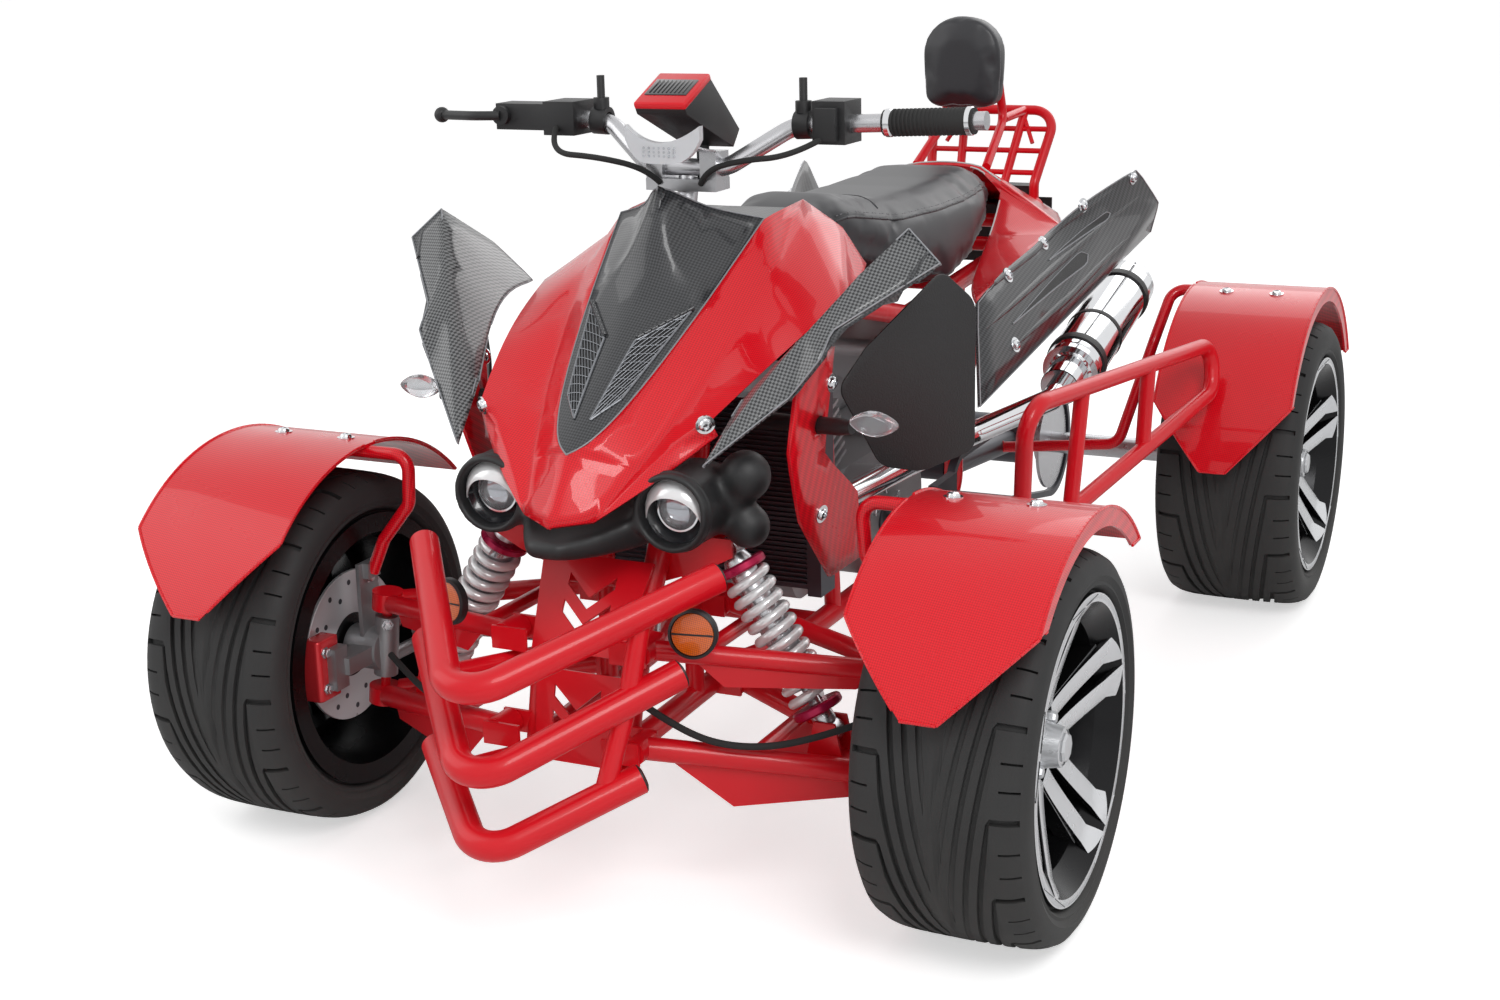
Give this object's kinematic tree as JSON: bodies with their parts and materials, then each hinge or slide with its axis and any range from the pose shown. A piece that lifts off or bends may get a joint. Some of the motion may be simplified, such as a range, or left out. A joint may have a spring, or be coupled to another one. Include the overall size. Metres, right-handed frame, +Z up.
{
  "type": "quad bike",
  "caption": "Low four-wheeled road quad with V-tube bumper, A-arm front end, exposed engine, winged bodywork, padded seat, back rest and steering that turns the covered front wheels.",
  "frame": {"origin": "on the ground under the middle of the machine's bounding box", "axes": "+Z up, +X to the rider's left, the front of the machine along -Y"},
  "size_m": [1.284, 2.147, 1.0554],
  "materials": {
    "frame_red": "gloss",
    "body_red": "gloss",
    "carbon_grey": "gloss",
    "black_plastic": "satin",
    "tyre_rubber": "matt",
    "alloy": "machined",
    "cast_metal": "cast",
    "steel": "satin",
    "dark_steel": "satin",
    "chrome": "polished",
    "spring_white": "gloss",
    "caliper_red": "gloss",
    "seat_leather": "satin",
    "grip_rubber": "matt",
    "lamp_glass": "clear"
  },
  "bodies": {
    "chassis": {"frame": "frame_red", "bumper": "frame_red", "crash_plates": "frame_red", "upper_arms": "frame_red", "lower_arms": "frame_red", "front_shocks": "spring_white", "rear_shock": "spring_white", "engine": "cast_metal", "radiator": "dark_steel", "exhaust": "chrome", "swingarm": "dark_steel", "chain": "dark_steel", "nose_fairing": "body_red", "nose_insert": "carbon_grey", "lamp_housing": "black_plastic", "headlamps": "lamp_glass", "turn_signals": "lamp_glass", "front_wings": "carbon_grey", "splash_panels": "black_plastic", "side_shrouds": "body_red", "seat": "seat_leather", "seat_cowl": "body_red", "tank_cover": "carbon_grey", "tail_panels": "carbon_grey", "rack": "frame_red", "backrest": "seat_leather", "tail_lamp": "black_plastic", "foot_guards": "frame_red", "foot_pegs": "dark_steel", "rear_fenders": "body_red", "brake_hoses": "grip_rubber"},
    "steering": {"handlebar": "steel", "grips": "grip_rubber", "controls": "black_plastic", "gauge": "black_plastic", "beam_lamp": "lamp_glass", "steering_column": "steel", "cables": "grip_rubber"},
    "knuckle_left": {"knuckle_left": "cast_metal", "caliper_left": "caliper_red", "front_fender_left": "body_red"},
    "tie_rod_left": {"tie_rod_left": "steel"},
    "wheel_front_left": {"tyre_front_left": "tyre_rubber", "rim_front_left": "alloy"},
    "knuckle_right": {"knuckle_right": "cast_metal", "caliper_right": "caliper_red", "front_fender_right": "body_red"},
    "tie_rod_right": {"tie_rod_right": "steel"},
    "wheel_front_right": {"tyre_front_right": "tyre_rubber", "rim_front_right": "alloy"},
    "rear_wheels": {"rear_axle": "steel", "rim_rear_left": "alloy", "rim_rear_right": "alloy", "tyre_rear_left": "tyre_rubber", "tyre_rear_right": "tyre_rubber"}
  },
  "joints": [
    {"name": "steering", "type": "hinge", "parent": "chassis", "child": "steering", "pos_m": [0, -0.60487, 0.27], "axis": [0, 0.2562, 0.9666], "range_deg": [-30, 30]},
    {"name": "kingpin_left", "type": "hinge", "parent": "chassis", "child": "knuckle_left", "pos_m": [0.399, -0.65187, 0.186], "axis": [-0.1055, 0, 0.9944], "range_deg": [-30, 30]},
    {"name": "tie_rod_left", "type": "hinge", "parent": "knuckle_left", "child": "tie_rod_left", "pos_m": [0.388, -0.57187, 0.257], "axis": [-0.1055, 0, 0.9944], "range_deg": [-30, 30]},
    {"name": "wheel_front_left", "type": "hinge", "parent": "knuckle_left", "child": "wheel_front_left", "pos_m": [0.5155, -0.65187, 0.2485], "axis": [1, 0, 0], "continuous": true},
    {"name": "kingpin_right", "type": "hinge", "parent": "chassis", "child": "knuckle_right", "pos_m": [-0.399, -0.65187, 0.186], "axis": [0.1055, 0, 0.9944], "range_deg": [-30, 30]},
    {"name": "tie_rod_right", "type": "hinge", "parent": "knuckle_right", "child": "tie_rod_right", "pos_m": [-0.388, -0.57187, 0.257], "axis": [0.1055, 0, 0.9944], "range_deg": [-30, 30]},
    {"name": "wheel_front_right", "type": "hinge", "parent": "knuckle_right", "child": "wheel_front_right", "pos_m": [-0.5155, -0.65187, 0.2485], "axis": [1, 0, 0], "continuous": true},
    {"name": "rear_axle", "type": "hinge", "parent": "chassis", "child": "rear_wheels", "pos_m": [0, 0.79813, 0.259], "axis": [1, 0, 0], "continuous": true}
  ],
  "couplings": [
    {"joint": "kingpin_left", "follows": "steering", "ratio": 1},
    {"joint": "tie_rod_left", "follows": "steering", "ratio": -1},
    {"joint": "kingpin_right", "follows": "steering", "ratio": 1},
    {"joint": "tie_rod_right", "follows": "steering", "ratio": -1}
  ]
}
